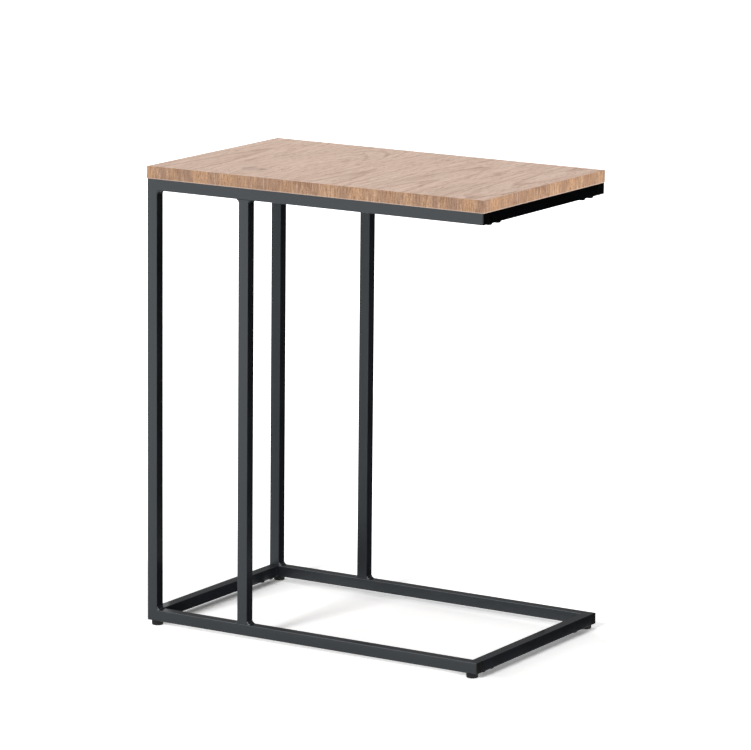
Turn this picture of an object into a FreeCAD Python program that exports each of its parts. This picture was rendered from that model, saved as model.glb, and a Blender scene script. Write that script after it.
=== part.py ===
import FreeCAD, Part
import math
import os

# C-shaped side table: a wood-effect board on a knock-down frame of square steel tube.
# Lengths are in millimetres. X runs along the table to its free end, Y from front to back, Z up.
# The origin is on the floor, under the middle of the table.

# Overall size, over the board and down to the floor
table_length = 550.0
table_depth = 340.0
table_height = 667.0

# Top: a chipboard core between two laminates, with edge bands round it
top_thickness = 18.0
top_overhang = 0.5
laminate_thickness = 0.6
band_thickness = 1.0
band_arris_radius = 0.6

# Square tube of the whole frame
tube_size = 16.0
tube_wall = 1.2
tube_corner_radius = 0.8
inner_upright_offset = 154.0

# Fillet welds in the corners of the side frames
weld_leg = 4.8
weld_crown_share = 0.45

# Push-in plugs in the free ends of the side frames' rails
plug_flange = 1.5
plug_edge_bevel = 0.6
plug_wall = 1.4
plug_clearance = 0.1
plug_to_nut_clearance = 1.0

# Channel spigots welded to the side frames, which the cross rails slide over
spigot_length = 46.0
spigot_headroom = 2.6
spigot_side_clearance = 0.3
spigot_strip = 2.0
spigot_fold_radius = 2.0
spigot_lead = 5.0
collar_height = 3.0
collar_wall = 1.3

# Button-head bolts through the cross rails into the tapped collars of the spigots
bolt_diameter = 6.0
bolt_length = 10.0
bolt_head_diameter = 10.5
bolt_head_height = 3.3
bolt_head_rim = 0.9
bolt_crown_diameter = 5.6
bolt_hole_clearance = 0.3
first_bolt_from_seam = 12.0
bolt_pitch = 23.0

# Wood screws from inside the top rails into the board
screw_diameter = 4.0
screw_cover = 5.2
screw_point = 3.5
screw_tip_diameter = 0.6
screw_head_diameter = 8.0
screw_head_height = 2.4
screw_head_rim = 0.8
screw_crown_diameter = 4.8
screw_hole_clearance = 0.3
screw_access_clearance = 1.0
screw_inset = 60.0
pilot_depth_clearance = 1.0

# Levelling feet: a pad moulded on a stud, screwed into a square nut welded inside the base rail
foot_height = 7.0
foot_inset = 12.0
pad_diameter = 17.0
pad_base_diameter = 16.6
pad_edge_bevel = 1.0
pad_floor = 1.8
stud_diameter = 6.0
stud_tip_clearance = 1.8
stud_tip_bevel = 0.8
stud_hole_clearance = 0.3
nut_size = 10.0
nut_height = 5.0

# Clearances that several fits share, and how far every cutter runs past what it cuts
thread_clearance = 0.05
running_clearance = 0.05
overrun = 1.0

# Flats round a pad, for the fingers, and round the small fasteners and their holes
pad_flat_count = 24
fastener_flat_count = 12

# Places that follow from the sizes
frame_length = table_length - 2 * top_overhang
frame_depth = table_depth - 2 * top_overhang
frame_left = -frame_length / 2
frame_right = frame_length / 2
side_frame_y = (frame_depth - tube_size) / 2
base_rail_bottom = foot_height
base_rail_top = base_rail_bottom + tube_size
top_rail_top = table_height - top_thickness
top_rail_bottom = top_rail_top - tube_size
tube_bore = tube_size - 2 * tube_wall
inner_upright_left = frame_left + inner_upright_offset
inner_upright_right = inner_upright_left + tube_size
cross_rail_length = frame_depth - 2 * tube_size
cross_rail_centre = {"left": frame_left + tube_size / 2, "right": frame_right - tube_size / 2}
rail_bottom = {"base": base_rail_bottom, "top": top_rail_bottom}
sides = {"front": -1, "back": 1}
bolt_offsets = (first_bolt_from_seam, first_bolt_from_seam + bolt_pitch)
screw_length = tube_wall + top_thickness - screw_cover
screw_bearing = top_rail_top - tube_wall
screw_places = (frame_left + screw_inset, 0, frame_right - screw_inset)
foot_centre = {"left": frame_left + foot_inset, "right": frame_right - foot_inset}

quarter_turn = 90
half_turn = 180

origin = FreeCAD.Vector(0, 0, 0)
x_axis = FreeCAD.Vector(1, 0, 0)
y_axis = FreeCAD.Vector(0, 1, 0)
z_axis = FreeCAD.Vector(0, 0, 1)


def moved(shape, x, y, z):
    copy = shape.copy()
    copy.translate(FreeCAD.Vector(x, y, z))
    return copy


def turned(shape, axis, angle):
    copy = shape.copy()
    copy.rotate(origin, axis, angle)
    return copy


def save(node, shape):
    shape.exportStep("parts/" + node + ".step")


def save_group(node, solids):
    save(node, Part.makeCompound(solids))


def block(x_span, y_span, z_span):
    low = FreeCAD.Vector(x_span[0], y_span[0], z_span[0])
    high = FreeCAD.Vector(x_span[1], y_span[1], z_span[1])
    size = high - low
    return Part.makeBox(size.x, size.y, size.z, low)


def centred(width):
    return (-width / 2, width / 2)


def flat_face(corners):
    return Part.Face(Part.makePolygon(corners + corners[:1]))


def flatted(flats, stations):
    """Many-sided solid about the Z axis, with plane faces between (diameter, height) stations."""
    angles = [2 * math.pi * flat / flats for flat in range(flats)]
    spokes = [FreeCAD.Vector(math.cos(angle), math.sin(angle), 0) for angle in angles]
    rings = []
    for diameter, height in stations:
        rings.append([spoke * (diameter / 2) + z_axis * height for spoke in spokes])
    faces = [flat_face(rings[0]), flat_face(rings[-1])]
    for low, high in zip(rings, rings[1:]):
        for flat in range(flats):
            faces.append(flat_face([low[flat - 1], low[flat], high[flat], high[flat - 1]]))
    return Part.makeSolid(Part.makeShell(faces))


def flatted_bar(diameter, low, high):
    return flatted(fastener_flat_count, [(diameter, low), (diameter, high)])


def prism_along_y(outline, width):
    """Solid centred on Y=0, from (x, z) corners."""
    corners = [FreeCAD.Vector(x, -width / 2, z) for x, z in outline]
    return flat_face(corners).extrude(FreeCAD.Vector(0, width, 0))


def edges_along_z(solid):
    return [edge for edge in solid.Edges if edge.BoundBox.ZLength > edge.BoundBox.DiagonalLength / 2]


def square_bar(width, length, corner_radius):
    """Square bar standing on Z=0 about the Z axis, with its long edges rounded."""
    bar = block(centred(width), centred(width), (0, length))
    return bar.makeFillet(corner_radius, edges_along_z(bar))


def tube(length):
    """Square tube standing on Z=0 about the Z axis, open at both ends."""
    bore = block(centred(tube_bore), centred(tube_bore), (-overrun, length + overrun))
    return square_bar(tube_size, length, tube_corner_radius).cut(bore)


# Top


def make_top():
    """Chipboard core, its two laminates and the four edge bands that close its edges."""
    core_x = centred(table_length - 2 * band_thickness)
    core_y = centred(table_depth - 2 * band_thickness)
    core_z = (top_rail_top + laminate_thickness, table_height - laminate_thickness)
    core = block(core_x, core_y, core_z)
    backing = block(core_x, core_y, (top_rail_top, core_z[0]))
    pilot_top = screw_bearing + screw_length + pilot_depth_clearance
    pilot = flatted_bar(screw_diameter + 2 * thread_clearance, top_rail_top - overrun, pilot_top)
    for side in sides.values():
        for x in screw_places:
            hole = moved(pilot, x, side * side_frame_y, 0)
            core = core.cut(hole)
            backing = backing.cut(hole)
    save("top_core_board", core)
    save("top_backing_laminate", backing)
    save("top_face_laminate", block(core_x, core_y, (core_z[1], table_height)))

    band_z = (top_rail_top, table_height)
    front_band = block(centred(table_length), (-table_depth / 2, core_y[0]), band_z)
    long_edges = [edge for edge in front_band.Edges if edge.BoundBox.XLength > top_thickness]
    arrises = [edge for edge in long_edges if edge.BoundBox.YMax < core_y[0] - band_thickness / 2]
    front_band = front_band.makeFillet(band_arris_radius, arrises)
    save("top_edge_band_front", front_band)
    save("top_edge_band_back", turned(front_band, z_axis, half_turn))

    left_band = block((-table_length / 2, core_x[0]), core_y, band_z)
    long_edges = [edge for edge in left_band.Edges if edge.BoundBox.YLength > top_thickness]
    arrises = [edge for edge in long_edges if edge.BoundBox.XMax < core_x[0] - band_thickness / 2]
    left_band = left_band.makeFillet(band_arris_radius, arrises)
    save("top_edge_band_left", left_band)
    save("top_edge_band_right", turned(left_band, z_axis, half_turn))


# Side frames


def rail_along_x(bottom):
    """Rail of a side frame, from its left corner to the flange of its end plug."""
    length = frame_length - plug_flange
    return moved(turned(tube(length), y_axis, quarter_turn), frame_left, 0, bottom + tube_size / 2)


def mitre_cutter(corner_height, inside, on_rail_side):
    """Wedge on one side of the mitre at a left corner; inside is 1 where the frame lies above it."""
    near = -overrun
    far = tube_size + overrun
    third = (far, near) if on_rail_side else (near, far)
    outline = [(frame_left + x, corner_height + inside * z) for x, z in ((near, near), (far, far), third)]
    return prism_along_y(outline, tube_size + 2 * overrun)


def weld_bead(x, height, right, up):
    """Slightly hollow fillet weld across an inside corner, as wide as the flat of the tube."""
    width = tube_size - 2 * tube_corner_radius
    crown = weld_leg * weld_crown_share
    corner = FreeCAD.Vector(x, -width / 2, height)
    on_rail = corner + x_axis * (right * weld_leg)
    on_upright = corner + z_axis * (up * weld_leg)
    middle = corner + x_axis * (right * crown) + z_axis * (up * crown)
    outline = [
        Part.makeLine(corner, on_rail),
        Part.Arc(on_rail, middle, on_upright).toShape(),
        Part.makeLine(on_upright, corner),
    ]
    return Part.Face(Part.Wire(outline)).extrude(y_axis * width)


def end_plug(bottom):
    """Moulded plug: a flange that covers the rail's end, and a short hollow foot pushed into the bore."""
    insert = centred(tube_bore - 2 * plug_clearance)
    hollow = centred(tube_bore - 2 * plug_clearance - 2 * plug_wall)
    insert_length = foot_inset - nut_size / 2 - plug_flange - plug_to_nut_clearance
    flange = square_bar(tube_size, plug_flange, tube_corner_radius)
    rim = [edge for edge in flange.Edges if edge.BoundBox.ZMin > plug_flange / 2]
    plug = flange.makeChamfer(plug_edge_bevel, rim).fuse(block(insert, insert, (-insert_length, 0)))
    plug = plug.cut(block(hollow, hollow, (-insert_length - overrun, 0))).removeSplitter()
    return moved(turned(plug, y_axis, quarter_turn), frame_right - plug_flange, 0, bottom + tube_size / 2)


def make_side_frames():
    """Front and back frames: two uprights between two rails, welded, with plugs in the free rail ends."""
    left_upright = tube(top_rail_top - base_rail_bottom)
    left_upright = moved(left_upright, cross_rail_centre["left"], 0, base_rail_bottom)
    inner_upright = tube(top_rail_bottom - base_rail_top)
    inner_upright = moved(inner_upright, inner_upright_left + tube_size / 2, 0, base_rail_top)
    base_rail = rail_along_x(base_rail_bottom)
    top_rail = rail_along_x(top_rail_bottom)
    for corner_height, inside in ((base_rail_bottom, 1), (top_rail_top, -1)):
        left_upright = left_upright.cut(mitre_cutter(corner_height, inside, True))
    base_rail = base_rail.cut(mitre_cutter(base_rail_bottom, 1, False))
    top_rail = top_rail.cut(mitre_cutter(top_rail_top, -1, False))

    stud_hole = flatted_bar(stud_diameter + 2 * stud_hole_clearance, -overrun, tube_size / 2)
    for x in foot_centre.values():
        base_rail = base_rail.cut(moved(stud_hole, x, 0, base_rail_bottom))
    access_hole = flatted_bar(screw_head_diameter + 2 * screw_access_clearance, -overrun, tube_size / 2)
    shank_hole = flatted_bar(screw_diameter + 2 * screw_hole_clearance, tube_size / 2, tube_size + overrun)
    for x in screw_places:
        top_rail = top_rail.cut(moved(access_hole, x, 0, top_rail_bottom))
        top_rail = top_rail.cut(moved(shank_hole, x, 0, top_rail_bottom))

    welds = []
    for height, up in ((base_rail_top, 1), (top_rail_bottom, -1)):
        welds.append(weld_bead(frame_left + tube_size, height, 1, up))
        welds.append(weld_bead(inner_upright_left, height, -1, up))
        welds.append(weld_bead(inner_upright_right, height, 1, up))

    pieces = {
        "left_upright": left_upright,
        "inner_upright": inner_upright,
        "base_rail": base_rail,
        "top_rail": top_rail,
        "base_end_plug": end_plug(base_rail_bottom),
        "top_end_plug": end_plug(top_rail_bottom),
        "frame_welds": Part.makeCompound(welds),
    }
    for side, direction in sides.items():
        for name, piece in pieces.items():
            save(side + "_" + name, moved(piece, 0, direction * side_frame_y, 0))


# Cross rails and their knock-down joints


def make_cross_rails():
    """Four equal rails between the side frames, with bolt holes in the lower wall at both ends."""
    rail = turned(tube(cross_rail_length), x_axis, -quarter_turn)
    rail = moved(rail, 0, -cross_rail_length / 2, tube_size / 2)
    bolt_hole = flatted_bar(bolt_diameter + 2 * bolt_hole_clearance, -overrun, tube_size / 2)
    for direction in sides.values():
        for offset in bolt_offsets:
            rail = rail.cut(moved(bolt_hole, 0, direction * (cross_rail_length / 2 - offset), 0))
    for level, bottom in rail_bottom.items():
        for end, x in cross_rail_centre.items():
            save(level + "_" + end + "_cross_rail", moved(rail, x, 0, bottom))


def channel_spigot():
    """U-shaped channel of folded strip, welded on at Y=0, with a tapped collar for each bolt in its web."""
    width = tube_bore - 2 * spigot_side_clearance
    height = tube_bore - spigot_headroom
    channel = block(centred(width), (0, spigot_length), (0, height))
    lower_edges = [edge for edge in channel.Edges if edge.BoundBox.ZMax < height / 2]
    folds = [edge for edge in lower_edges if edge.BoundBox.YLength > width]
    channel = channel.makeFillet(spigot_fold_radius, folds)
    hollow_x = centred(width - 2 * spigot_strip)
    hollow_y = (-overrun, spigot_length + overrun)
    channel = channel.cut(block(hollow_x, hollow_y, (spigot_strip, height + overrun)))

    lead = [
        FreeCAD.Vector(-width, spigot_length - spigot_lead - overrun, height + overrun),
        FreeCAD.Vector(-width, spigot_length + overrun, height + overrun),
        FreeCAD.Vector(-width, spigot_length + overrun, height - spigot_lead - overrun),
    ]
    channel = channel.cut(flat_face(lead).extrude(x_axis * (2 * width)))

    tapping = bolt_diameter + 2 * thread_clearance
    collar = flatted_bar(tapping + 2 * collar_wall, spigot_strip / 2, spigot_strip + collar_height)
    tapped_hole = flatted_bar(tapping, -overrun, spigot_strip + collar_height + overrun)
    for offset in bolt_offsets:
        channel = channel.fuse(moved(collar, 0, offset, 0))
    for offset in bolt_offsets:
        channel = channel.cut(moved(tapped_hole, 0, offset, 0))
    return channel.removeSplitter()


def domed_head(diameter, height, rim, crown_diameter):
    """Stations of a low fastener head, which bears on Z=0 from below."""
    return [(crown_diameter, -height), (diameter, -rim), (diameter, 0)]


def button_head_bolt():
    """Bolt about the Z axis, with its head below Z=0 and its shank above."""
    head = domed_head(bolt_head_diameter, bolt_head_height, bolt_head_rim, bolt_crown_diameter)
    return flatted(fastener_flat_count, head + [(bolt_diameter, 0), (bolt_diameter, bolt_length)])


def make_knock_down_joints():
    """At each end of each cross rail: the spigot inside it and the two bolts that draw it down."""
    spigot = channel_spigot()
    bolt = button_head_bolt()
    bolts = []
    for side, direction in sides.items():
        seam = direction * cross_rail_length / 2
        facing = turned(spigot, z_axis, half_turn) if direction > 0 else spigot
        for level, bottom in rail_bottom.items():
            for end, x in cross_rail_centre.items():
                save(side + "_" + level + "_" + end + "_spigot", moved(facing, x, seam, bottom + tube_wall))
                bolts += [moved(bolt, x, seam - direction * offset, bottom) for offset in bolt_offsets]
    save_group("cross_rail_bolts", bolts)


# Screws that hold the top


def make_top_screws():
    """Pan-head wood screws, put in through the access holes, with their heads inside the top rails."""
    head = domed_head(screw_head_diameter, screw_head_height, screw_head_rim, screw_crown_diameter)
    point_start = screw_length - screw_point
    shank = [(screw_diameter, 0), (screw_diameter, point_start), (screw_tip_diameter, screw_length)]
    screw = flatted(fastener_flat_count, head + shank)
    places = [(x, direction * side_frame_y) for direction in sides.values() for x in screw_places]
    save_group("top_screws", [moved(screw, x, y, screw_bearing) for x, y in places])


# Levelling feet


def foot_pad():
    """Moulded pad with grip flats, tapered to a bevelled lower edge, and bored for its stud."""
    bevelled_diameter = pad_base_diameter - 2 * pad_edge_bevel
    stations = [(bevelled_diameter, 0), (pad_base_diameter, pad_edge_bevel), (pad_diameter, foot_height)]
    bore_radius = stud_diameter / 2 + running_clearance
    bore = Part.makeCylinder(bore_radius, foot_height - pad_floor + overrun, z_axis * pad_floor)
    return flatted(pad_flat_count, stations).cut(bore)


def foot_stud():
    """Threaded stud, shown plain, from the floor of its pad to just under the rail's upper wall."""
    tip = base_rail_top - tube_wall - stud_tip_clearance
    tip_diameter = stud_diameter - 2 * stud_tip_bevel
    shank = [(stud_diameter, pad_floor), (stud_diameter, tip - stud_tip_bevel), (tip_diameter, tip)]
    return flatted(fastener_flat_count, shank)


def weld_nut():
    """Square nut welded on the lower wall inside a base rail."""
    nut = block(centred(nut_size), centred(nut_size), (0, nut_height))
    thread = flatted_bar(stud_diameter + 2 * thread_clearance, -overrun, nut_height + overrun)
    return moved(nut.cut(thread), 0, 0, base_rail_bottom + tube_wall)


def make_feet():
    """One foot under each end of the two base rails."""
    pad = foot_pad()
    stud = foot_stud()
    nut = weld_nut()
    nuts = []
    for side, direction in sides.items():
        y = direction * side_frame_y
        for end, x in foot_centre.items():
            save("foot_pad_" + side + "_" + end, moved(pad, x, y, 0))
            save("foot_stud_" + side + "_" + end, moved(stud, x, y, 0))
            nuts.append(moved(nut, x, y, 0))
    save_group("foot_weld_nuts", nuts)


os.makedirs("parts", exist_ok=True)
make_top()
make_side_frames()
make_cross_rails()
make_knock_down_joints()
make_top_screws()
make_feet()
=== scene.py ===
import bmesh
import bpy
import math
from mathutils import Matrix, Vector


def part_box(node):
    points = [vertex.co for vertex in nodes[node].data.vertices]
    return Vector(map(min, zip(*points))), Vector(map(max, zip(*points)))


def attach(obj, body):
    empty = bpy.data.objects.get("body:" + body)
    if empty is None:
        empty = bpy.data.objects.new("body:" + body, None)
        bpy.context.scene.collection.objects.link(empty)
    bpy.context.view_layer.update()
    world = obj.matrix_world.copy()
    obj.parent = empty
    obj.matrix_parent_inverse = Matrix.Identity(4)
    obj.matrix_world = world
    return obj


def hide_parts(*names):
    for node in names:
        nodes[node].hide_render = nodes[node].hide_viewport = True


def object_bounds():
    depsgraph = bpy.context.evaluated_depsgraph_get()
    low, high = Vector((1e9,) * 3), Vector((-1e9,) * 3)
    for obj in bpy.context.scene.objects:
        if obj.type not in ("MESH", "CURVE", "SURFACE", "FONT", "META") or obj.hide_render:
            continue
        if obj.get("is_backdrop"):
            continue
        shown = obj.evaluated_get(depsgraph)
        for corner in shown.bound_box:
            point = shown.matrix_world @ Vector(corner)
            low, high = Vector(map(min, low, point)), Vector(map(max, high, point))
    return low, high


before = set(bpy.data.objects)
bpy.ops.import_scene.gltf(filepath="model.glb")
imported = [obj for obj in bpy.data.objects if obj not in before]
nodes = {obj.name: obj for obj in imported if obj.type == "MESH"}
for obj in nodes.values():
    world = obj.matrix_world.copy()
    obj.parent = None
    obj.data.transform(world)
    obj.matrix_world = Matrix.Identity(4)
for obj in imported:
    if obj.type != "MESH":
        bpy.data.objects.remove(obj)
cad_low, cad_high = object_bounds()


# Side frames: each is two uprights between two rails of 16 mm square steel tube, mitred and
# welded at the left corners. The whole frame is powder-coated in satin charcoal black, which
# leaves a very fine orange-peel skin over the steel.

def tone(red, green, blue):
    """Linear colour from the usual 0 to 255 values."""
    shares = [value / 255 for value in (red, green, blue)]
    return tuple(s / 12.92 if s <= 0.04045 else ((s + 0.055) / 1.055) ** 2.4 for s in shares) + (1.0,)


def feed(tree, value, socket):
    """Wires a node's output into a socket, or writes a plain value there."""
    if isinstance(value, bpy.types.NodeSocket):
        tree.links.new(value, socket)
    else:
        socket.default_value = value


def reckon(tree, operation, first, second=0.0, third=0.0):
    """One step of arithmetic."""
    node = tree.nodes.new("ShaderNodeMath")
    node.operation = operation
    for value, socket in zip((first, second, third), node.inputs):
        feed(tree, value, socket)
    return node.outputs[0]


def spread(tree, value, low, high, to_low, to_high):
    """Maps a value from one range to another, with its ends held."""
    node = tree.nodes.new("ShaderNodeMapRange")
    for given, socket in zip((value, low, high, to_low, to_high), node.inputs):
        feed(tree, given, socket)
    return node.outputs[0]


def mingle(tree, share, first, second):
    """Mixes two colours by a share."""
    node = tree.nodes.new("ShaderNodeMix")
    node.data_type = "RGBA"
    feed(tree, share, node.inputs[0])
    feed(tree, first, node.inputs[6])
    feed(tree, second, node.inputs[7])
    return node.outputs[2]


def stretch(tree, place, scale):
    """Scales a place by its own number along each axis."""
    node = tree.nodes.new("ShaderNodeVectorMath")
    node.operation = "MULTIPLY"
    feed(tree, place, node.inputs[0])
    node.inputs[1].default_value = scale
    return node.outputs[0]


def mottle(tree, place, scale, detail=2.0, rough=0.5):
    """Noise from 0 to 1 at a place."""
    node = tree.nodes.new("ShaderNodeTexNoise")
    feed(tree, place, node.inputs["Vector"])
    node.inputs["Scale"].default_value = scale
    node.inputs["Detail"].default_value = detail
    node.inputs["Roughness"].default_value = rough
    return node.outputs["Fac"]


def here(tree):
    """Place on the piece, in metres."""
    return tree.nodes.new("ShaderNodeTexCoord").outputs["Object"]


def along_axes(tree, vector):
    """The X, Y and Z of a place or a direction."""
    node = tree.nodes.new("ShaderNodeSeparateXYZ")
    feed(tree, vector, node.inputs[0])
    return node.outputs


def new_group(name, takes, gives):
    group = bpy.data.node_groups.new(name, "ShaderNodeTree")
    for word, kind in takes:
        group.interface.new_socket(name=word, in_out="INPUT", socket_type=kind)
    for word, kind in gives:
        group.interface.new_socket(name=word, in_out="OUTPUT", socket_type=kind)
    return group, group.nodes.new("NodeGroupInput").outputs, group.nodes.new("NodeGroupOutput").inputs


def use_group(tree, group, **values):
    node = tree.nodes.new("ShaderNodeGroup")
    node.node_tree = group
    for word, value in values.items():
        feed(tree, value, node.inputs[word])
    return node.outputs


def new_finish(name):
    """An empty material with its shader, wired to the output."""
    finish = bpy.data.materials.new(name)
    finish.use_nodes = True
    tree = finish.node_tree
    return finish, tree, tree.nodes["Principled BSDF"]


def raise_skin(tree, shader, height, depth, strength):
    """Gives a shader fine relief of a depth in metres."""
    bump = tree.nodes.new("ShaderNodeBump")
    bump.inputs["Strength"].default_value = strength
    bump.inputs["Distance"].default_value = depth
    feed(tree, height, bump.inputs["Height"])
    tree.links.new(bump.outputs["Normal"], shader.inputs["Normal"])


def dress(piece, finish):
    """Gives a piece its only material."""
    piece.data.materials.clear()
    piece.data.materials.append(finish)


# A fine skin, as paint and moulded plastic have: small lumps, and slow changes of tone
fine_skin, skin_in, skin_out = new_group(
    "fine_skin",
    [("Place", "NodeSocketVector"), ("Lumps_per_metre", "NodeSocketFloat")],
    [("Lumps", "NodeSocketFloat"), ("Drift", "NodeSocketFloat")],
)
lumps = fine_skin.nodes.new("ShaderNodeTexNoise")
lumps.inputs["Detail"].default_value = 3.0
feed(fine_skin, skin_in["Place"], lumps.inputs["Vector"])
feed(fine_skin, skin_in["Lumps_per_metre"], lumps.inputs["Scale"])
feed(fine_skin, lumps.outputs["Fac"], skin_out["Lumps"])
feed(fine_skin, mottle(fine_skin, skin_in["Place"], 9.0, 3.0), skin_out["Drift"])

ground_within = 0.009
ground_fades_at = 0.017


def coat_finish(name, on_side_frame):
    """Satin charcoal powder coat. On the side frames it lies unevenly over the dressed welds, and a
    painted highlight makes the rails' upper edges paler where they face the front or the back."""
    finish, tree, shader = new_finish(name)
    place = here(tree)
    skin = use_group(tree, fine_skin, Place=place, Lumps_per_metre=1500.0)
    depth = reckon(tree, "MULTIPLY_ADD", skin["Lumps"], 0.6, reckon(tree, "MULTIPLY", skin["Drift"], 0.4))
    body = mingle(tree, spread(tree, depth, 0.38, 0.62, 0.0, 1.0), tone(7, 8, 10), tone(13, 14, 18))
    feed(tree, body, shader.inputs["Base Color"])
    feed(tree, spread(tree, skin["Drift"], 0.3, 0.7, 0.32, 0.39), shader.inputs["Roughness"])
    shader.inputs["Specular IOR Level"].default_value = 0.68
    shader.inputs["Specular Tint"].default_value = (0.85, 0.94, 1.0, 1.0)
    height = skin["Lumps"]
    if on_side_frame:
        # Painted highlight: edges that face upwards and to the front or back get a paler colour
        facing = along_axes(tree, tree.nodes.new("ShaderNodeNewGeometry").outputs["True Normal"])
        outward = spread(tree, reckon(tree, "ABSOLUTE", facing["Y"]), 0.2, 0.45, 0.0, 1.0)
        lightened_arris = reckon(tree, "MULTIPLY", outward, spread(tree, facing["Z"], 0.2, 0.45, 0.0, 1.0))
        feed(tree, mingle(tree, lightened_arris, body, tone(72, 74, 78)), shader.inputs["Base Color"])
        apart = along_axes(tree, place)
        away = []
        for axis, welds in (("X", weld_places_x), ("Z", weld_places_z)):
            gaps = [reckon(tree, "ABSOLUTE", reckon(tree, "SUBTRACT", apart[axis], weld)) for weld in welds]
            away.append(reckon(tree, "MINIMUM", *gaps))
        near = spread(tree, reckon(tree, "MAXIMUM", *away), ground_within, ground_fades_at, 1.0, 0.0)
        ground = mottle(tree, place, 230.0, 2.0)
        height = reckon(tree, "MULTIPLY_ADD", reckon(tree, "MULTIPLY", near, ground), 5.0, height)
    raise_skin(tree, shader, height, 0.00005, 0.4)
    return finish


weld_places_x = [
    sum(corner.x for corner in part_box(name)) / 2
    for name in ("front_left_upright", "front_inner_upright")
]
weld_places_z = [
    sum(corner.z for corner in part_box(name)) / 2
    for name in ("front_base_rail", "front_top_rail")
]
powder_coat = coat_finish("powder_coat", on_side_frame=False)
frame_coat = coat_finish("frame_coat", on_side_frame=True)

for side in ("front", "back"):
    for piece in ("left_upright", "inner_upright", "base_rail", "top_rail"):
        dress(nodes[side + "_" + piece], frame_coat)


# Weld beads: short fillets run across each inside corner of a side frame by hand, so that no two
# are quite alike. They are dressed smooth, slightly hollow with faint ripples, and coated over.

bead_half_width = 0.0073
bead_leg_on_rail, rail_leg_step = 0.0043, 0.00015
bead_leg_on_upright, upright_leg_step = 0.0048, 0.0002
bead_hollow = 0.37
bead_ripple_height = 0.025
bead_ripples = 13
bead_steps_across = 24
bead_steps_round = 8


def weld_beads(name, side):
    """The six beads of one side frame, as one piece."""
    middle_y = sum(corner.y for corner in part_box(side + "_base_rail")) / 2
    base_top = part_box(side + "_base_rail")[1].z
    top_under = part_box(side + "_top_rail")[0].z
    left_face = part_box(side + "_left_upright")[1].x
    inner_low, inner_high = (corner.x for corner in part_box(side + "_inner_upright"))
    corners = []
    for height, up in ((base_top, 1), (top_under, -1)):
        corners += [(left_face, height, 1, up), (inner_low, height, -1, up), (inner_high, height, 1, up)]
    mesh = bmesh.new()
    for count, (x, z, right, up) in enumerate(corners):
        along_rail = bead_leg_on_rail + rail_leg_step * (count * 7 % 5)
        along_upright = bead_leg_on_upright + upright_leg_step * (count * 3 % 5)
        rows = []
        for step in range(bead_steps_across + 1):
            across = step / bead_steps_across
            y = middle_y + (2 * across - 1) * bead_half_width
            swell = min(1.0, math.sin(math.pi * across) * 4 + 0.25) ** 0.5
            ripple = 1 + bead_ripple_height * math.sin(across * math.pi * bead_ripples + count)
            row = [mesh.verts.new((x, y, z))]
            for turn in range(bead_steps_round + 1):
                angle = math.pi / 2 * turn / bead_steps_round
                out = 1 - bead_hollow * math.sin(2 * angle) ** 2
                reach_x = along_rail * swell * ripple * math.cos(angle) * out
                reach_z = along_upright * swell * ripple * math.sin(angle) * out
                row.append(mesh.verts.new((x + right * reach_x, y, z + up * reach_z)))
            rows.append(row)
        for near, far in zip(rows, rows[1:]):
            for i in range(len(near)):
                j = (i + 1) % len(near)
                mesh.faces.new((near[i], near[j], far[j], far[i]))
        mesh.faces.new(rows[0])
        mesh.faces.new(rows[-1])
    bmesh.ops.recalc_face_normals(mesh, faces=mesh.faces)
    data = bpy.data.meshes.new(name)
    mesh.to_mesh(data)
    mesh.free()
    for face in data.polygons:
        face.use_smooth = len(face.vertices) == 4
    beads = bpy.data.objects.new(name, data)
    bpy.context.scene.collection.objects.link(beads)
    return beads


for side in ("front", "back"):
    beads = weld_beads(side + "_weld_beads", side)
    dress(beads, frame_coat)
    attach(beads, "table")
    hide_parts(side + "_frame_welds")


# End plugs: black moulded plastic caps pushed into the free ends of the side frames' rails, with a
# slightly coarser and duller skin than the paint beside them.

def moulded_plastic(name, lumps_per_metre, lighter, least_rough, most_rough, shine):
    """Black plastic with the skin of its mould."""
    finish, tree, shader = new_finish(name)
    skin = use_group(tree, fine_skin, Place=here(tree), Lumps_per_metre=lumps_per_metre)
    body = mingle(tree, spread(tree, skin["Lumps"], 0.35, 0.65, 0.0, 1.0), tone(9, 9, 10), lighter)
    feed(tree, body, shader.inputs["Base Color"])
    feed(tree, spread(tree, skin["Lumps"], 0.3, 0.7, least_rough, most_rough), shader.inputs["Roughness"])
    shader.inputs["Specular IOR Level"].default_value = shine
    raise_skin(tree, shader, skin["Lumps"], 0.00005, 0.4)
    return finish


plug_plastic = moulded_plastic("plug_plastic", 900.0, tone(15, 15, 16), 0.38, 0.46, 0.35)

for side in ("front", "back"):
    for level in ("base", "top"):
        dress(nodes[side + "_" + level + "_end_plug"], plug_plastic)


# Cross rails: four lengths of the same tube, cut square and bolted between the side frames. The sawn
# ends are deburred, which leaves a fine seam where they butt against the side frames.

deburred_edge = 0.0004
sharp_edge = math.radians(50)

for level in ("base", "top"):
    for end in ("left", "right"):
        rail = nodes[level + "_" + end + "_cross_rail"]
        dress(rail, powder_coat)
        deburr = rail.modifiers.new("deburred_ends", "BEVEL")
        deburr.width = deburred_edge
        deburr.segments = 2
        deburr.limit_method = "ANGLE"
        deburr.angle_limit = sharp_edge


# Channel spigots: folded steel strip with tapped collars, welded to the side frames and hidden inside
# the ends of the cross rails. They are coated with the frames.

for side in ("front", "back"):
    for level in ("base", "top"):
        for end in ("left", "right"):
            spigot = nodes[side + "_" + level + "_" + end + "_spigot"]
            dress(spigot, powder_coat)


# Cross-rail bolts: black steel button heads with a hexagon socket, put in from below so that only the
# low domes stand out under the ends of the rails.

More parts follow.
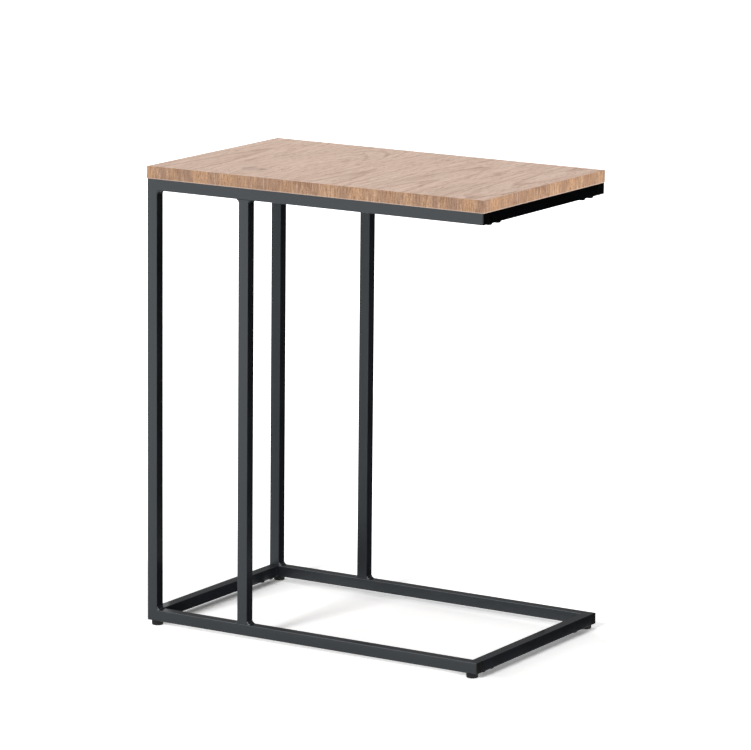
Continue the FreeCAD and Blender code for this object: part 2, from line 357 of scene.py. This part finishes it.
bolt_head_radius = 0.00525
bolt_head_height = 0.0033
bolt_crown_radius = 0.0029
bolt_rim_height = 0.0006
bolt_rim_bevel = 0.0002
bolt_dome_steps = 8
bolt_socket_radius = 0.0023
bolt_socket_depth = 0.0018
bolt_socket_bevel = 0.0003
socket_floor_share = 0.9
socket_mouth_share = 1.06
bolt_shank_radius = 0.00296
bolt_shank_length = 0.0099
bolt_tip_bevel = 0.0006
bolt_sides = 36
bolt_insets = (0.012, 0.035)
bolt_sharp_edge = math.radians(35)

black_bolt, tree, shader = new_finish("black_bolt")
skin = use_group(tree, fine_skin, Place=here(tree), Lumps_per_metre=1100.0)
feed(tree, mingle(tree, skin["Lumps"], tone(16, 16, 18), tone(28, 28, 30)), shader.inputs["Base Color"])
feed(tree, spread(tree, skin["Lumps"], 0.3, 0.7, 0.32, 0.48), shader.inputs["Roughness"])
shader.inputs["Metallic"].default_value = 0.35
raise_skin(tree, shader, skin["Lumps"], 0.00003, 0.3)


def lathe(mesh, profile, sides, place, hexagon=(), fluted=(), flutes=0, flute_depth=0.0):
    """Rings of points about a vertical axis. Those numbered in hexagon are six-sided, and those numbered in
    fluted have grip flutes."""
    rings = []
    for count, (radius, height) in enumerate(profile):
        ring = []
        for side in range(sides):
            angle = 2 * math.pi * side / sides
            reach = radius
            if count in hexagon:
                reach = radius * math.cos(math.pi / 6) / math.cos((angle % (math.pi / 3)) - math.pi / 6)
            if count in fluted:
                reach = radius - flute_depth * max(0.0, math.cos(flutes * angle))
            point = Vector((reach * math.cos(angle), reach * math.sin(angle), height))
            ring.append(mesh.verts.new(point + place))
        rings.append(ring)
    for low, high in zip(rings, rings[1:]):
        for side in range(sides):
            mesh.faces.new((low[side - 1], low[side], high[side], high[side - 1]))
    mesh.faces.new(rings[0])
    mesh.faces.new(rings[-1])


def settle(mesh, name, body, finish, sharp):
    """Turns the built mesh into a smooth-shaded piece on a body, with its sharp edges kept."""
    bmesh.ops.recalc_face_normals(mesh, faces=mesh.faces)
    for edge in mesh.edges:
        edge.smooth = len(edge.link_faces) == 2 and edge.calc_face_angle() < sharp
    data = bpy.data.meshes.new(name)
    mesh.to_mesh(data)
    mesh.free()
    for face in data.polygons:
        face.use_smooth = True
    piece = bpy.data.objects.new(name, data)
    bpy.context.scene.collection.objects.link(piece)
    dress(piece, finish)
    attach(piece, body)
    return piece


bolt_profile = [
    (bolt_socket_radius * socket_floor_share, bolt_socket_depth - bolt_head_height),
    (bolt_socket_radius, bolt_socket_bevel - bolt_head_height),
    (bolt_socket_radius * socket_mouth_share, -bolt_head_height),
]
for step in range(bolt_dome_steps + 1):
    angle = math.pi / 2 * step / bolt_dome_steps
    bolt_profile.append((
        bolt_crown_radius + (bolt_head_radius - bolt_crown_radius) * math.sin(angle),
        -bolt_rim_height - (bolt_head_height - bolt_rim_height) * math.cos(angle),
    ))
bolt_profile += [
    (bolt_head_radius, -bolt_rim_bevel),
    (bolt_head_radius - bolt_rim_bevel, 0.0),
    (bolt_shank_radius, 0.0),
    (bolt_shank_radius, bolt_shank_length - bolt_tip_bevel),
    (bolt_shank_radius - bolt_tip_bevel, bolt_shank_length),
]

bolts = bmesh.new()
for level in ("base", "top"):
    for end in ("left", "right"):
        low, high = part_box(level + "_" + end + "_cross_rail")
        for toward, edge in ((1, low.y), (-1, high.y)):
            for inset in bolt_insets:
                place = Vector(((low.x + high.x) / 2, edge + toward * inset, low.z))
                lathe(bolts, bolt_profile, bolt_sides, place, hexagon=(0, 1))
bolt_piece = settle(bolts, "button_head_bolts", "table", black_bolt, bolt_sharp_edge)
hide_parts("cross_rail_bolts")


# Levelling feet: a zinc-plated stud screws into a square nut welded inside the rail, and carries a
# black moulded pad that is turned by hand. The pad has grip flutes round its side, tapers to a
# rounded lower edge, and stands on a ring round a shallow hollow.

zinc, tree, shader = new_finish("zinc_plating")
skin = use_group(tree, fine_skin, Place=here(tree), Lumps_per_metre=700.0)
feed(tree, mingle(tree, skin["Drift"], tone(176, 178, 180), tone(206, 207, 206)), shader.inputs["Base Color"])
feed(tree, spread(tree, skin["Lumps"], 0.3, 0.7, 0.28, 0.42), shader.inputs["Roughness"])
shader.inputs["Metallic"].default_value = 1.0
raise_skin(tree, shader, skin["Lumps"], 0.00002, 0.3)

foot_plastic = moulded_plastic("foot_plastic", 1000.0, tone(17, 17, 18), 0.42, 0.55, 0.28)

dress(nodes["foot_weld_nuts"], zinc)

pad_top_radius = 0.0085
pad_top_bevel = 0.0003
pad_lip_inset = 0.0002
pad_lip_height = 0.0008
pad_low_radius = 0.0083
pad_edge_round = 0.0016
pad_round_steps = 7
pad_ring_radius = 0.0055
pad_hollow_radius = 0.0050
pad_hollow_depth = 0.0003
pad_bore_radius = 0.00305
pad_floor = 0.0018
pad_sides = 128
pad_flutes = 16
pad_flute_depth = 0.0005
pad_fluted_rings = range(6, 11)
pad_sharp_edge = math.radians(40)

for side in ("front", "back"):
    for end in ("left", "right"):
        stud = nodes["foot_stud_" + side + "_" + end]
        dress(stud, zinc)
        low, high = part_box("foot_pad_" + side + "_" + end)
        height = high.z - low.z
        profile = [(pad_hollow_radius, pad_hollow_depth), (pad_ring_radius, 0.0)]
        for step in range(pad_round_steps + 1):
            angle = math.pi / 2 * step / pad_round_steps
            profile.append((
                pad_low_radius - pad_edge_round + pad_edge_round * math.sin(angle),
                pad_edge_round - pad_edge_round * math.cos(angle),
            ))
        profile += [
            (pad_top_radius - pad_lip_inset, height - pad_lip_height),
            (pad_top_radius, height - pad_top_bevel),
            (pad_top_radius - pad_top_bevel, height),
            (pad_bore_radius, height),
            (pad_bore_radius, pad_floor),
        ]
        pad_mesh = bmesh.new()
        place = Vector(((low.x + high.x) / 2, (low.y + high.y) / 2, low.z))
        lathe(
            pad_mesh, profile, pad_sides, place,
            fluted=pad_fluted_rings, flutes=pad_flutes, flute_depth=pad_flute_depth,
        )
        body = side + "_" + end + "_pad"
        cap = "foot_cap_" + side + "_" + end
        pad = settle(pad_mesh, cap, body, foot_plastic, pad_sharp_edge)
        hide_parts("foot_pad_" + side + "_" + end)


# Table top: an 18 mm chipboard core between a wood-effect face laminate and a plain balancing one.
# The print is a slightly pink oak whose grain runs from front to back, and part of its pale tone is
# a painted sheen, which greys it a little.

chipboard, tree, shader = new_finish("chipboard")
chips = tree.nodes.new("ShaderNodeTexVoronoi")
chips.inputs["Scale"].default_value = 380.0
feed(tree, here(tree), chips.inputs["Vector"])
chip_colour = mingle(tree, chips.outputs["Distance"], tone(205, 178, 138), tone(150, 118, 82))
feed(tree, chip_colour, shader.inputs["Base Color"])
shader.inputs["Roughness"].default_value = 0.85
raise_skin(tree, shader, chips.outputs["Distance"], 0.0004, 0.5)
dress(nodes["top_core_board"], chipboard)

backing, tree, shader = new_finish("balancing_laminate")
skin = use_group(tree, fine_skin, Place=here(tree), Lumps_per_metre=600.0)
feed(tree, mingle(tree, skin["Drift"], tone(196, 178, 160), tone(210, 194, 178)), shader.inputs["Base Color"])
feed(tree, spread(tree, skin["Lumps"], 0.3, 0.7, 0.55, 0.65), shader.inputs["Roughness"])
raise_skin(tree, shader, skin["Lumps"], 0.00005, 0.3)
dress(nodes["top_backing_laminate"], backing)

# Printed oak: slow bands, long streaks, fine fibres and short pores that crowd in places, which all run
# along the second axis
oak_print, oak_in, oak_out = new_group(
    "oak_print",
    [("Place", "NodeSocketVector")],
    [(word, "NodeSocketFloat") for word in ("Bands", "Crowds", "Streaks", "Fibres", "Pores")],
)
for word, per_metre, detail, rough in (
    ("Bands", (24.0, 2.5, 2.5), 3.0, 0.5),
    ("Crowds", (210.0, 14.0, 14.0), 2.0, 0.5),
    ("Streaks", (230.0, 3.0, 3.0), 3.0, 0.6),
    ("Fibres", (600.0, 10.0, 10.0), 3.0, 0.65),
):
    layer = mottle(oak_print, stretch(oak_print, oak_in["Place"], per_metre), 1.0, detail, rough)
    feed(oak_print, layer, oak_out[word])
pore_noise = mottle(oak_print, stretch(oak_print, oak_in["Place"], (1000.0, 62.0, 62.0)), 1.0, 1.0)
feed(oak_print, spread(oak_print, pore_noise, 0.50, 0.60, 0.0, 1.0), oak_out["Pores"])

# On the face the lines wander across the grain by some millimetres, and tremble finely
grain_wander = 0.022
grain_tremble = 0.004
oak_face, tree, shader = new_finish("oak_face")
place = here(tree)
apart = along_axes(tree, place)
wander = reckon(tree, "SUBTRACT", mottle(tree, stretch(tree, place, (7.0, 3.0, 1.0)), 1.0, 2.0), 0.5)
across_grain = reckon(tree, "MULTIPLY_ADD", wander, grain_wander, apart["X"])
tremble = reckon(tree, "SUBTRACT", mottle(tree, stretch(tree, place, (60.0, 24.0, 1.0)), 1.0, 2.0), 0.5)
across_grain = reckon(tree, "MULTIPLY_ADD", tremble, grain_tremble, across_grain)


def late_wood(phase):
    """The dark part of each year's ring, which deepens slowly and ends sharply."""
    part = reckon(tree, "FRACT", reckon(tree, "MULTIPLY_ADD", tremble, 0.5, phase))
    deepening = spread(tree, part, 0.62, 0.86, 0.0, 1.0)
    return reckon(tree, "MULTIPLY", deepening, spread(tree, part, 0.90, 1.0, 1.0, 0.0))


def hypotenuse(first, second):
    """How far away a place is that lies so far off in two directions."""
    second_squared = reckon(tree, "MULTIPLY", second, second)
    return reckon(tree, "SQRT", reckon(tree, "MULTIPLY_ADD", first, first, second_squared))


# Knots push the grain aside; each has a dark heart with a ring or two round it
hearts = 0.0
rings = 0.0
for knot_x, knot_y, half_width, half_length in (
    (-0.135, -0.108, 0.022, 0.022),
    (0.168, 0.052, 0.007, 0.014),
):
    off_x = reckon(tree, "SUBTRACT", apart["X"], knot_x)
    share_y = reckon(tree, "DIVIDE", reckon(tree, "SUBTRACT", apart["Y"], knot_y), half_length)
    away = hypotenuse(reckon(tree, "DIVIDE", off_x, half_width), share_y)
    away = reckon(tree, "MULTIPLY_ADD", tremble, 0.9, reckon(tree, "MULTIPLY_ADD", wander, 1.2, away))
    aside = reckon(tree, "MULTIPLY", off_x, spread(tree, away, 0.3, 2.8, 0.7, 0.0))
    across_grain = reckon(tree, "SUBTRACT", across_grain, aside)
    hearts = reckon(tree, "MAXIMUM", hearts, spread(tree, away, 0.2, 1.0, 1.0, 0.0))
    ring = late_wood(reckon(tree, "MULTIPLY", away, 1.7))
    ring = reckon(tree, "MULTIPLY", ring, spread(tree, away, 0.7, 2.1, 0.9, 0.0))
    rings = reckon(tree, "MAXIMUM", rings, ring)

# Arched figures, as a board has where it is cut near the heart of a log that leans along the grain. The
# last two numbers of each say how strong it is at the front and at the back of the table
for heart_x, heart_y, lean, ring_width, at_front, at_back in (
    (-0.225, -0.70, 0.05, 0.0130, 1.0, 0.8),
    (-0.080, -0.20, 0.20, 0.0100, 0.2, 1.0),
    (0.010, -0.75, 0.05, 0.0125, 1.0, 0.5),
    (0.125, -0.34, 0.10, 0.0150, 1.0, 1.0),
    (0.245, 0.40, 0.09, 0.0130, 1.0, 1.0),
):
    off_x = reckon(tree, "SUBTRACT", across_grain, heart_x)
    depth = reckon(tree, "MULTIPLY", reckon(tree, "SUBTRACT", apart["Y"], heart_y), lean)
    ring = late_wood(reckon(tree, "DIVIDE", hypotenuse(off_x, depth), ring_width))
    fade = spread(tree, reckon(tree, "ABSOLUTE", off_x), 0.025, 0.085, 1.0, 0.15)
    fade = reckon(tree, "MULTIPLY", fade, spread(tree, apart["Y"], -0.06, 0.10, at_front, at_back))
    rings = reckon(tree, "MAXIMUM", rings, reckon(tree, "MULTIPLY", ring, fade))

bent = tree.nodes.new("ShaderNodeCombineXYZ")
feed(tree, across_grain, bent.inputs["X"])
feed(tree, apart["Y"], bent.inputs["Y"])
oak = use_group(tree, oak_print, Place=bent.outputs[0])
figure = reckon(tree, "MULTIPLY_ADD", oak["Streaks"], 0.5, reckon(tree, "MULTIPLY", oak["Bands"], 0.5))
# Part of how pale and grey these tones are is a painted sheen
colour = mingle(tree, spread(tree, figure, 0.34, 0.66, 0.0, 1.0), tone(201, 175, 158), tone(220, 197, 182))
ashen = mottle(tree, stretch(tree, bent.outputs[0], (15.0, 5.0, 1.0)), 1.0, 1.0)
colour = mingle(tree, spread(tree, ashen, 0.52, 0.70, 0.0, 0.28), colour, tone(193, 174, 155))
colour = mingle(tree, reckon(tree, "MULTIPLY", hearts, 0.7), colour, tone(178, 157, 145))
colour = mingle(tree, spread(tree, oak["Fibres"], 0.48, 0.64, 0.0, 0.45), colour, tone(180, 149, 131))
crowding = spread(tree, oak["Crowds"], 0.44, 0.60, 0.0, 1.0)
ring_share = reckon(tree, "MULTIPLY", rings, reckon(tree, "MULTIPLY_ADD", crowding, 0.3, 0.42))
colour = mingle(tree, ring_share, colour, tone(160, 129, 112))
pores = reckon(tree, "MULTIPLY", oak["Pores"], reckon(tree, "MULTIPLY_ADD", crowding, 0.7, 0.10))
colour = mingle(tree, pores, colour, tone(148, 116, 99))
heart_share = reckon(tree, "MULTIPLY", reckon(tree, "POWER", hearts, 2.0), crowding)
heart_share = reckon(tree, "MULTIPLY", heart_share, 0.6)
colour = mingle(tree, heart_share, colour, tone(116, 96, 86))
feed(tree, colour, shader.inputs["Base Color"])
feed(tree, spread(tree, oak["Streaks"], 0.3, 0.7, 0.52, 0.62), shader.inputs["Roughness"])
shader.inputs["Specular IOR Level"].default_value = 0.35
hollows = reckon(tree, "MULTIPLY_ADD", oak["Fibres"], 0.4, oak["Pores"])
raise_skin(tree, shader, reckon(tree, "SUBTRACT", 1.0, hollows), 0.00006, 0.35)
dress(nodes["top_face_laminate"], oak_face)


# Edge bands: 1 mm printed strips glued round the board and trimmed flush. Their print is warmer, with
# short upright streaks, and the band is paler along its lowest millimetre or so.

arris_height = 0.0012
upright_crowding = 6.4


def band_finish(name, along):
    """Printed band with upright streaks, for an edge that runs along one axis."""
    finish, tree, shader = new_finish(name)
    apart = along_axes(tree, here(tree))
    laid = tree.nodes.new("ShaderNodeCombineXYZ")
    feed(tree, apart[along], laid.inputs["X"])
    feed(tree, reckon(tree, "MULTIPLY", apart["Z"], upright_crowding), laid.inputs["Y"])
    oak = use_group(tree, oak_print, Place=laid.outputs[0])
    blocks = mottle(tree, stretch(tree, laid.outputs[0], (46.0, 1.0, 1.0)), 1.0, 1.0)
    warmth = reckon(tree, "MULTIPLY_ADD", oak["Streaks"], 0.35, reckon(tree, "MULTIPLY", blocks, 0.65))
    warmth = spread(tree, warmth, 0.40, 0.60, 0.0, 1.0)
    colour = mingle(tree, warmth, tone(158, 127, 106), tone(189, 149, 115))
    colour = mingle(tree, spread(tree, oak["Streaks"], 0.51, 0.67, 0.0, 0.55), colour, tone(210, 178, 150))
    colour = mingle(tree, spread(tree, oak["Fibres"], 0.48, 0.61, 0.0, 0.80), colour, tone(130, 95, 70))
    colour = mingle(tree, reckon(tree, "MULTIPLY", oak["Pores"], 0.4), colour, tone(114, 82, 62))
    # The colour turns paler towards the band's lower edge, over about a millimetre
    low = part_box("top_edge_band_front")[0].z
    lightened_arris = spread(tree, apart["Z"], low + arris_height * 0.6, low + arris_height * 1.4, 0.6, 0.0)
    feed(tree, mingle(tree, lightened_arris, colour, tone(212, 190, 177)), shader.inputs["Base Color"])
    feed(tree, spread(tree, oak["Streaks"], 0.3, 0.7, 0.5, 0.62), shader.inputs["Roughness"])
    shader.inputs["Specular IOR Level"].default_value = 0.35
    raise_skin(tree, shader, oak["Fibres"], 0.00005, 0.3)
    return finish


long_band = band_finish("oak_band_long", "X")
short_band = band_finish("oak_band_short", "Y")
for where, finish in (
    ("front", long_band), ("back", long_band),
    ("left", short_band), ("right", short_band),
):
    dress(nodes["top_edge_band_" + where], finish)


# Top screws: zinc-plated pan-head screws that stand inside the top rails. They are driven up into the
# board through access holes in the rails' lower walls.

dress(nodes["top_screws"], zinc)


# Studio: a seamless pale floor that keeps the shadows, a key light from the front, a long strip overhead
# on the left, and a fill from the right. Cards that only reflections see keep the paint dark on its
# right-hand sides and low down between the frames.

def seen_directly(tree):
    """One for what the camera sees itself, in a gloss or through glass, and nought for other light."""
    path = tree.nodes.new("ShaderNodeLightPath")
    seen = reckon(tree, "MAXIMUM", path.outputs["Is Camera Ray"], path.outputs["Is Glossy Ray"])
    return reckon(tree, "MAXIMUM", seen, path.outputs["Is Transmission Ray"])


def clear_from_behind(tree, shown):
    """Wires a shader to the output for the front of a sheet, and leaves its back clear."""
    clear = tree.nodes.new("ShaderNodeBsdfTransparent")
    sides = tree.nodes.new("ShaderNodeMixShader")
    tree.links.new(tree.nodes.new("ShaderNodeNewGeometry").outputs["Backfacing"], sides.inputs[0])
    tree.links.new(shown, sides.inputs[1])
    tree.links.new(clear.outputs[0], sides.inputs[2])
    tree.links.new(sides.outputs[0], tree.nodes["Material Output"].inputs["Surface"])


def sheet(name, corners, finish):
    """A flat stage piece, which isn't part of the table."""
    data = bpy.data.meshes.new(name)
    data.from_pydata(corners, [], [(0, 1, 2, 3)])
    piece = bpy.data.objects.new(name, data)
    bpy.context.scene.collection.objects.link(piece)
    dress(piece, finish)
    piece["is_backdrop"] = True
    return piece


world_light = 0.30
world = bpy.data.worlds.new("studio")
bpy.context.scene.world = world
world.use_nodes = True
tree = world.node_tree
backdrop = tree.nodes["Background"]
backdrop.inputs["Color"].default_value = (1.0, 1.0, 1.0, 1.0)
feed(tree, spread(tree, seen_directly(tree), 0.0, 1.0, world_light, 1.0), backdrop.inputs["Strength"])

# The paint mirrors the floor in front of the table more strongly the farther away that floor is
paper_in_light = 0.82
paper_seen = 1.4
paper = bpy.data.materials.new("paper")
paper.use_nodes = True
tree = paper.node_tree
tree.nodes.remove(tree.nodes["Principled BSDF"])
apart = along_axes(tree, here(tree))
in_gloss = tree.nodes.new("ShaderNodeLightPath").outputs["Is Glossy Ray"]
farther = reckon(tree, "MULTIPLY", in_gloss, spread(tree, apart["Y"], -2.6, -0.2, 0.55, -0.30))
farther = reckon(tree, "MULTIPLY", farther, spread(tree, apart["Y"], -0.15, -0.10, 1.0, 0.0))
white = spread(tree, seen_directly(tree), 0.0, 1.0, paper_in_light, paper_seen)
matt = tree.nodes.new("ShaderNodeBsdfDiffuse")
feed(tree, reckon(tree, "MULTIPLY_ADD", white, farther, white), matt.inputs["Color"])

# A little glow keeps the paper white beside the frames, below the top's free end, far behind the table,
# and in the gap under the front base rail
beyond_frames = reckon(tree, "SUBTRACT", reckon(tree, "ABSOLUTE", apart["Y"]), cad_high.y)
whiter = spread(tree, beyond_frames, -0.035, -0.005, 0.02, 0.22)
under_free_end = spread(tree, apart["X"], 0.0, 0.25, 0.0, 0.10)
far_behind = spread(tree, apart["Y"], 0.25, 0.60, 0.0, 0.50)
in_gap = spread(tree, apart["Y"], -0.153, -0.139, 0.28, 0.0)
in_gap = reckon(tree, "MULTIPLY", in_gap, spread(tree, apart["Y"], -0.178, -0.168, 0.0, 1.0))
in_gap = reckon(tree, "MULTIPLY", in_gap, spread(tree, apart["X"], 0.22, 0.26, 1.0, 0.0))
for share in (under_free_end, far_behind, in_gap):
    whiter = reckon(tree, "ADD", whiter, share)
glow = tree.nodes.new("ShaderNodeEmission")
feed(tree, reckon(tree, "MULTIPLY", seen_directly(tree), whiter), glow.inputs["Strength"])
both = tree.nodes.new("ShaderNodeAddShader")
tree.links.new(matt.outputs[0], both.inputs[0])
tree.links.new(glow.outputs[0], both.inputs[1])
clear_from_behind(tree, both.outputs[0])

floor_half = 30.0
floor_corners = [(x * floor_half, y * floor_half, 0) for x, y in ((-1, -1), (1, -1), (1, 1), (-1, 1))]
floor = sheet("floor", floor_corners, paper)


def card_finish(name, brightness, one_sided=False):
    """Card of an even grey, which may be clear from behind."""
    finish = bpy.data.materials.new(name)
    finish.use_nodes = True
    tree = finish.node_tree
    tree.nodes.remove(tree.nodes["Principled BSDF"])
    glow = tree.nodes.new("ShaderNodeEmission")
    glow.inputs["Strength"].default_value = brightness
    if one_sided:
        clear_from_behind(tree, glow.outputs[0])
    else:
        tree.links.new(glow.outputs[0], tree.nodes["Material Output"].inputs["Surface"])
    return finish


def across(y, x_from, x_to, top):
    """Corners of a card that stands across the view from the front."""
    return [(x_from, y, 0), (x_to, y, 0), (x_to, y, top), (x_from, y, top)]


def along(x, y_from, y_to, top):
    """Corners of a card that stands along one side of the table."""
    return [(x, y_from, 0), (x, y_to, 0), (x, y_to, top), (x, y_from, top)]


def flat(x_from, x_to, y_from, y_to):
    """Corners of a card that lies on the floor."""
    return [(x_from, y_from, lift), (x_to, y_from, lift), (x_to, y_to, lift), (x_from, y_to, lift)]


black_card = card_finish("black_card", 0.0)
grey_card = card_finish("grey_card", 0.22)
pale_card = card_finish("pale_card", 0.74)
front_card = card_finish("front_card", 0.0, one_sided=True)
lift = 0.0004
wall_x, wall_y, wall_top = 3.2, 2.2, 3.6
free_end, between_frames, low_top = 0.282, 0.256, 0.03
cards = {
    "card_behind": (across(wall_y, 0.2, wall_x, wall_top), black_card),
    "card_behind_left": (across(wall_y, -6.0, 0.2, wall_top), grey_card),
    "card_right": (along(wall_x, -1.6, wall_y, wall_top), black_card),
    "card_floor_right": (flat(free_end, wall_x, -0.8, wall_y), black_card),
    "card_floor_behind": (flat(-0.3, free_end, 0.185, wall_y), black_card),
    "card_floor_inside": (flat(-between_frames, between_frames, -0.150, 0.065), black_card),
    "card_across_inside": (across(0.052, -between_frames, between_frames, low_top), black_card),
    "card_left_inside": (across(-0.10, -0.60, -0.285, 0.64), pale_card),
}
# In the back left corner the left rail mirrors the fronts of these, and the back rail sees through their
# backs
for number, corner_y in enumerate((0.085, 0.118, 0.151), 1):
    cards[f"card_corner_{number}"] = (across(corner_y, -between_frames, -0.185, low_top), front_card)
for name, (corners, finish) in cards.items():
    card = sheet(name, corners, finish)
    card.visible_camera = False
    card.visible_diffuse = False
    card.visible_shadow = False
    card.visible_transmission = False


def sun(name, toward, strength, width):
    """Even light that comes from a direction, with soft edges."""
    lamp = bpy.data.lights.new(name, "SUN")
    lamp.energy = strength
    lamp.angle = math.radians(width)
    light = bpy.data.objects.new(name, lamp)
    light.rotation_mode = "QUATERNION"
    light.rotation_quaternion = Vector(toward).to_track_quat("Z", "Y")
    bpy.context.scene.collection.objects.link(light)
    return light


sun("front_key", toward=(-0.07, -0.863, 0.50), strength=2.0, width=13)

# The strip runs parallel to the side frames, so that their rails hardly shade the floor
strip_toward = Vector((-0.57, 0.05, 0.82))
strip_distance = 8.0
strip = bpy.data.lights.new("strip_left", "AREA")
strip.shape = "RECTANGLE"
strip.size, strip.size_y = 0.9, 7.0
strip.energy = 132.0
strip_light = bpy.data.objects.new("strip_left", strip)
strip_light.rotation_mode = "QUATERNION"
strip_light.rotation_quaternion = strip_toward.to_track_quat("Z", "Y")
strip_light.location = strip_toward.normalized() * strip_distance
bpy.context.scene.collection.objects.link(strip_light)

# The fill is kept off the floor, where it would wash out the shadows, and off the rail and the plugs
# at the free end, which stay dark below the top
fill = sun("right_fill", toward=(0.95, -0.12, 0.29), strength=3.6, width=40)
unlit = bpy.data.collections.new("unlit_by_fill")
for piece in (floor, nodes["top_right_cross_rail"], nodes["front_top_end_plug"], nodes["back_top_end_plug"]):
    unlit.objects.link(piece)
for linked in unlit.collection_objects:
    linked.light_linking.link_state = "EXCLUDE"
fill.light_linking.receiver_collection = unlit


# Camera: a long lens from the front right, a little above the table top, with a trace of roll. It stands
# where the photo was taken, so that the table's edges fall in the same places.

turn_round = math.radians(31.49)
look_down = math.radians(11.27)
roll = math.radians(-0.56)
distance = 6.286
aim = Vector((-0.011, -0.005, 0.337))
step_right, step_up = 0.0144, 0.0309
lens_in_pixels = 4409
picture_width = 751
sensor_width = 36.0

forward = Vector((
    -math.sin(turn_round) * math.cos(look_down),
    math.cos(turn_round) * math.cos(look_down),
    -math.sin(look_down),
))
level_right = Vector((math.cos(turn_round), math.sin(turn_round), 0))
level_down = forward.cross(level_right)
right = level_right * math.cos(roll) + level_down * math.sin(roll)
down = level_down * math.cos(roll) - level_right * math.sin(roll)
stand = aim - forward * distance + right * step_right - down * step_up
lens = bpy.data.cameras.new("camera")
lens.sensor_width = sensor_width
lens.lens = lens_in_pixels * sensor_width / picture_width
lens.clip_end = 100.0
camera = bpy.data.objects.new("camera", lens)
camera.matrix_world = Matrix((
    (right.x, -down.x, -forward.x, stand.x),
    (right.y, -down.y, -forward.y, stand.y),
    (right.z, -down.z, -forward.z, stand.z),
    (0, 0, 0, 1),
))
bpy.context.scene.collection.objects.link(camera)
bpy.context.scene.camera = camera
bpy.context.scene.view_settings.view_transform = "Standard"

low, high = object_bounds()
